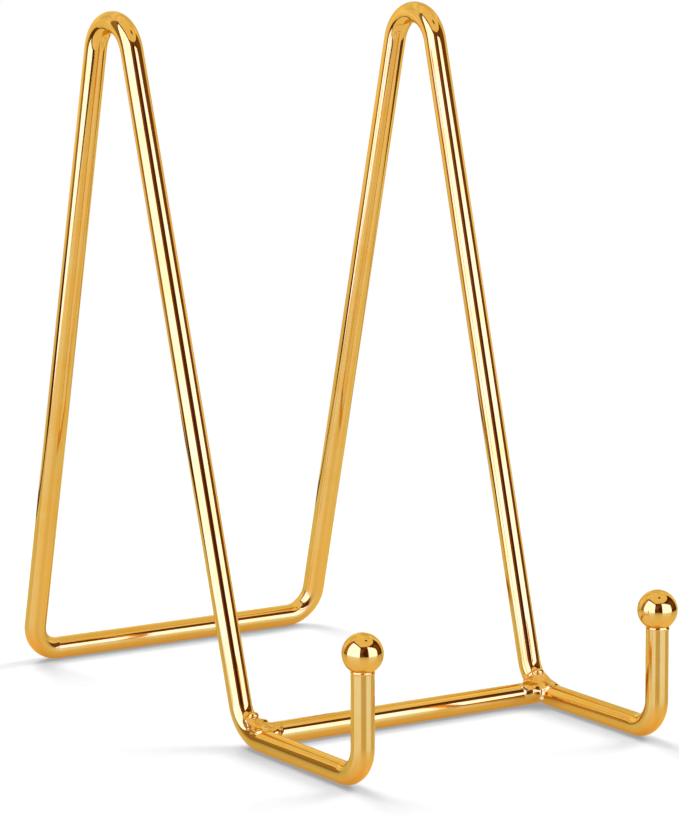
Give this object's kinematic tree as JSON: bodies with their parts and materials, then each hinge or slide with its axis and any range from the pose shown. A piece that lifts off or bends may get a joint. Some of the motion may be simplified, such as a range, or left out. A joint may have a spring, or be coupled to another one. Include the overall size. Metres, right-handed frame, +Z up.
{
  "type": "plate stand",
  "caption": "Bent-rod display stand with two ball-tipped hooks that hold a plate upright, leaning on splayed hairpin legs joined by a rear bar and a front cross bar.",
  "frame": {"origin": "on the resting surface, midway between the two sides, under the centreline of the front cross bar", "axes": "+Z up; +X along the cross bar, towards the side that is on the right when the hooks face the viewer; +Y towards the rear bar, so the hooks and their balls are at -Y"},
  "size_m": [0.0858, 0.1399, 0.1524],
  "materials": {
    "gold_plating": "bright yellow-gold plating on steel rod, mirror polished",
    "gold_plated_weld": "yellow-gold plating over lumpy weld metal"
  },
  "bodies": {
    "root": {"frame_rod": "gold_plating", "cross_bar": "gold_plating", "left_ball": "gold_plating", "right_ball": "gold_plating", "left_ball_weld": "gold_plated_weld", "right_ball_weld": "gold_plated_weld", "left_heel_weld": "gold_plated_weld", "right_heel_weld": "gold_plated_weld"}
  },
  "joints": []
}
